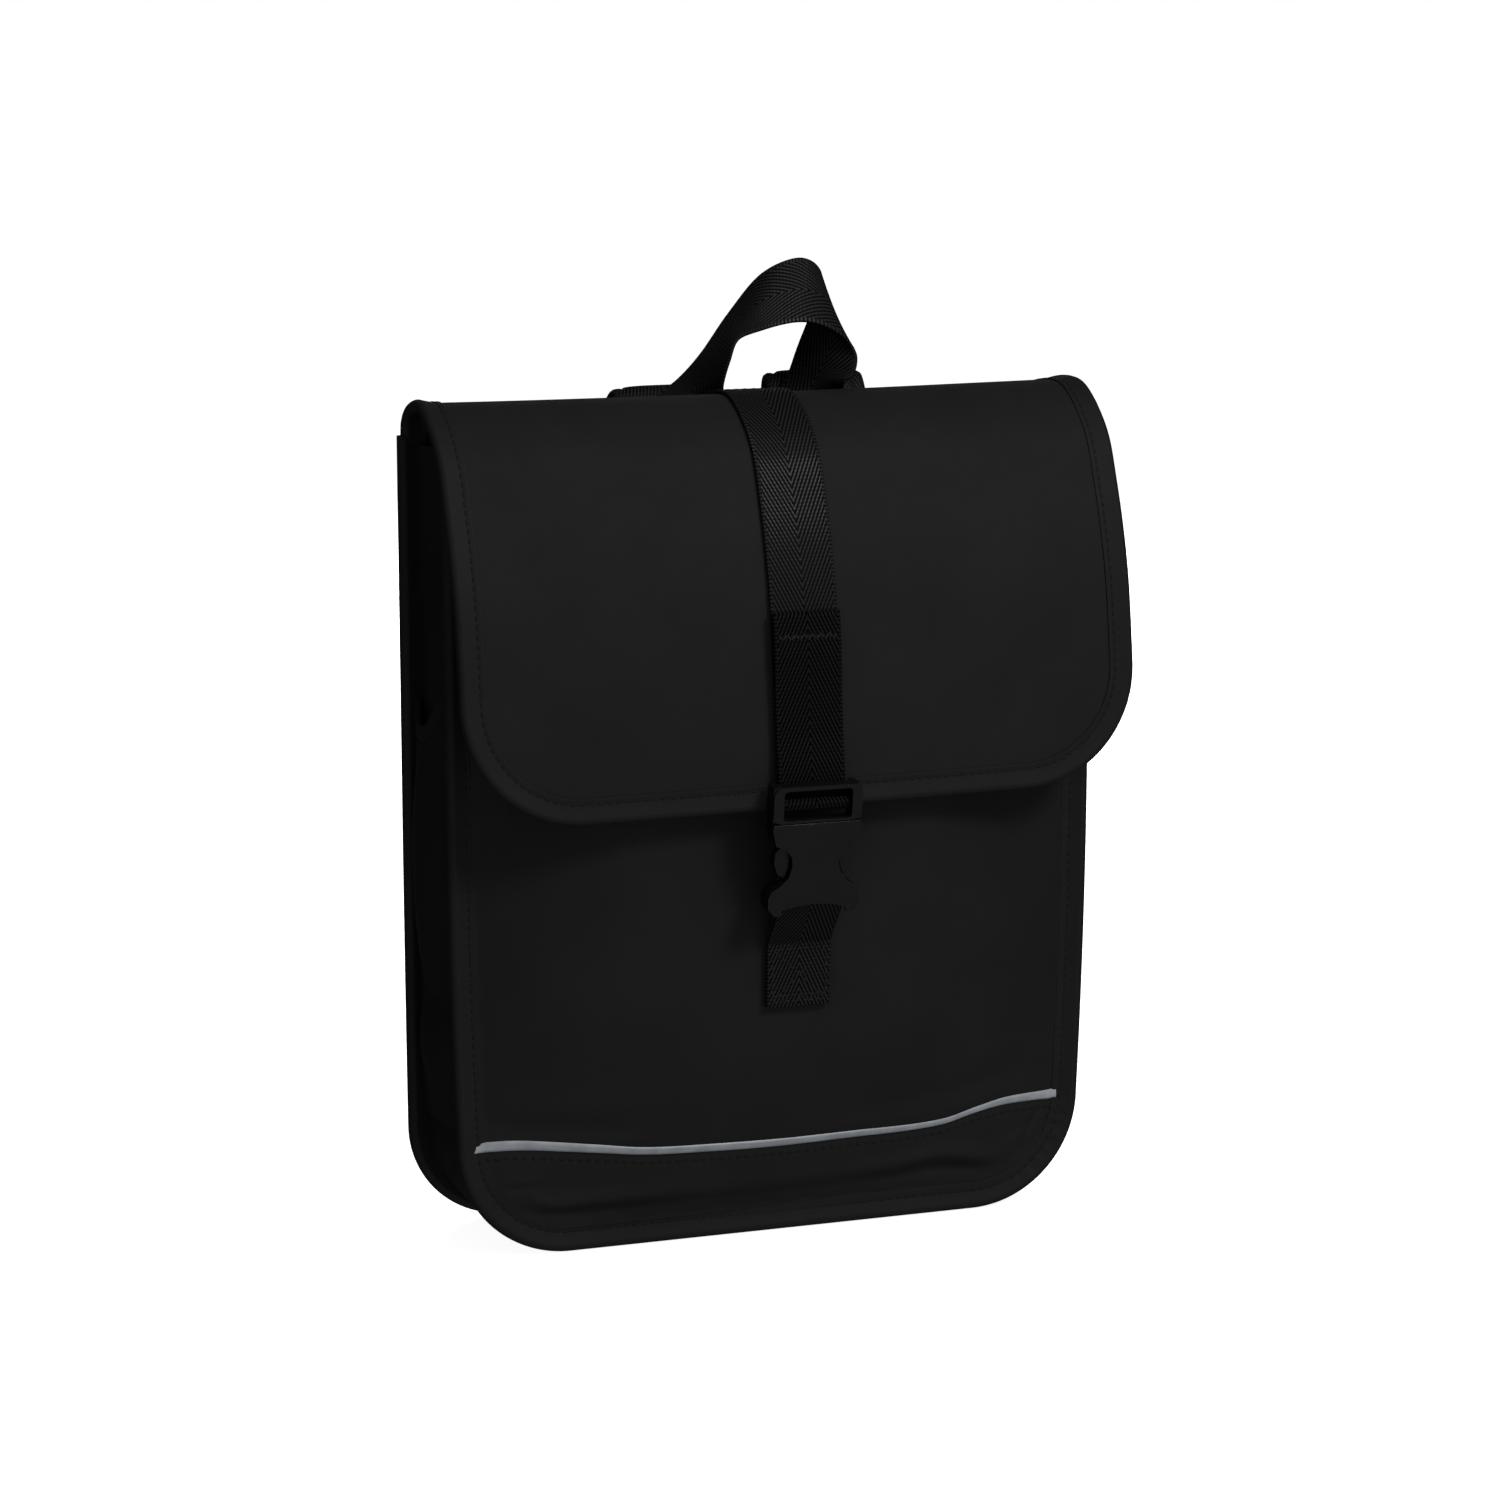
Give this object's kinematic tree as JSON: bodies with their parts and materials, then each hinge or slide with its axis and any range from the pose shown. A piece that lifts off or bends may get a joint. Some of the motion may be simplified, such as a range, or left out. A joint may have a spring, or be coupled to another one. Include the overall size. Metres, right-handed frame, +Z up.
{
  "type": "laptop backpack",
  "caption": "Slim upright backpack in dark coated cloth, with bound edges, a fold-over flap, a webbing strap closed by a side-release buckle, side pockets, a carry handle and shoulder straps.",
  "frame": {"origin": "middle of the flat base, on the floor the bag stands on", "axes": "+Z up along the bag's height, +Y from the front panel to the padded back, +X to the right seen from the front"},
  "size_m": [0.2917, 0.1526, 0.4016],
  "materials": {
    "cloth": "matte coated cloth",
    "trim": "matte coated binding tape",
    "webbing": "herringbone polyester webbing",
    "plastic": "satin moulded acetal",
    "reflective": "retroreflective tape"
  },
  "bodies": {
    "root": {"back_binding": "trim", "back_panel": "cloth", "base_panel": "cloth", "buckle_female": "plastic", "buckle_male": "plastic", "buckle_strap": "webbing", "flap": "cloth", "flap_binding": "trim", "flap_strap": "webbing", "front_binding": "trim", "front_panel": "cloth", "gusset": "cloth", "handle": "webbing", "reflective_strip": "reflective", "shoulder_strap_left": "webbing", "shoulder_strap_right": "webbing", "side_pocket_left": "cloth", "side_pocket_right": "cloth", "strap_slider_left": "plastic", "strap_slider_right": "plastic", "strap_webbing_left": "webbing", "strap_webbing_right": "webbing"}
  },
  "joints": []
}
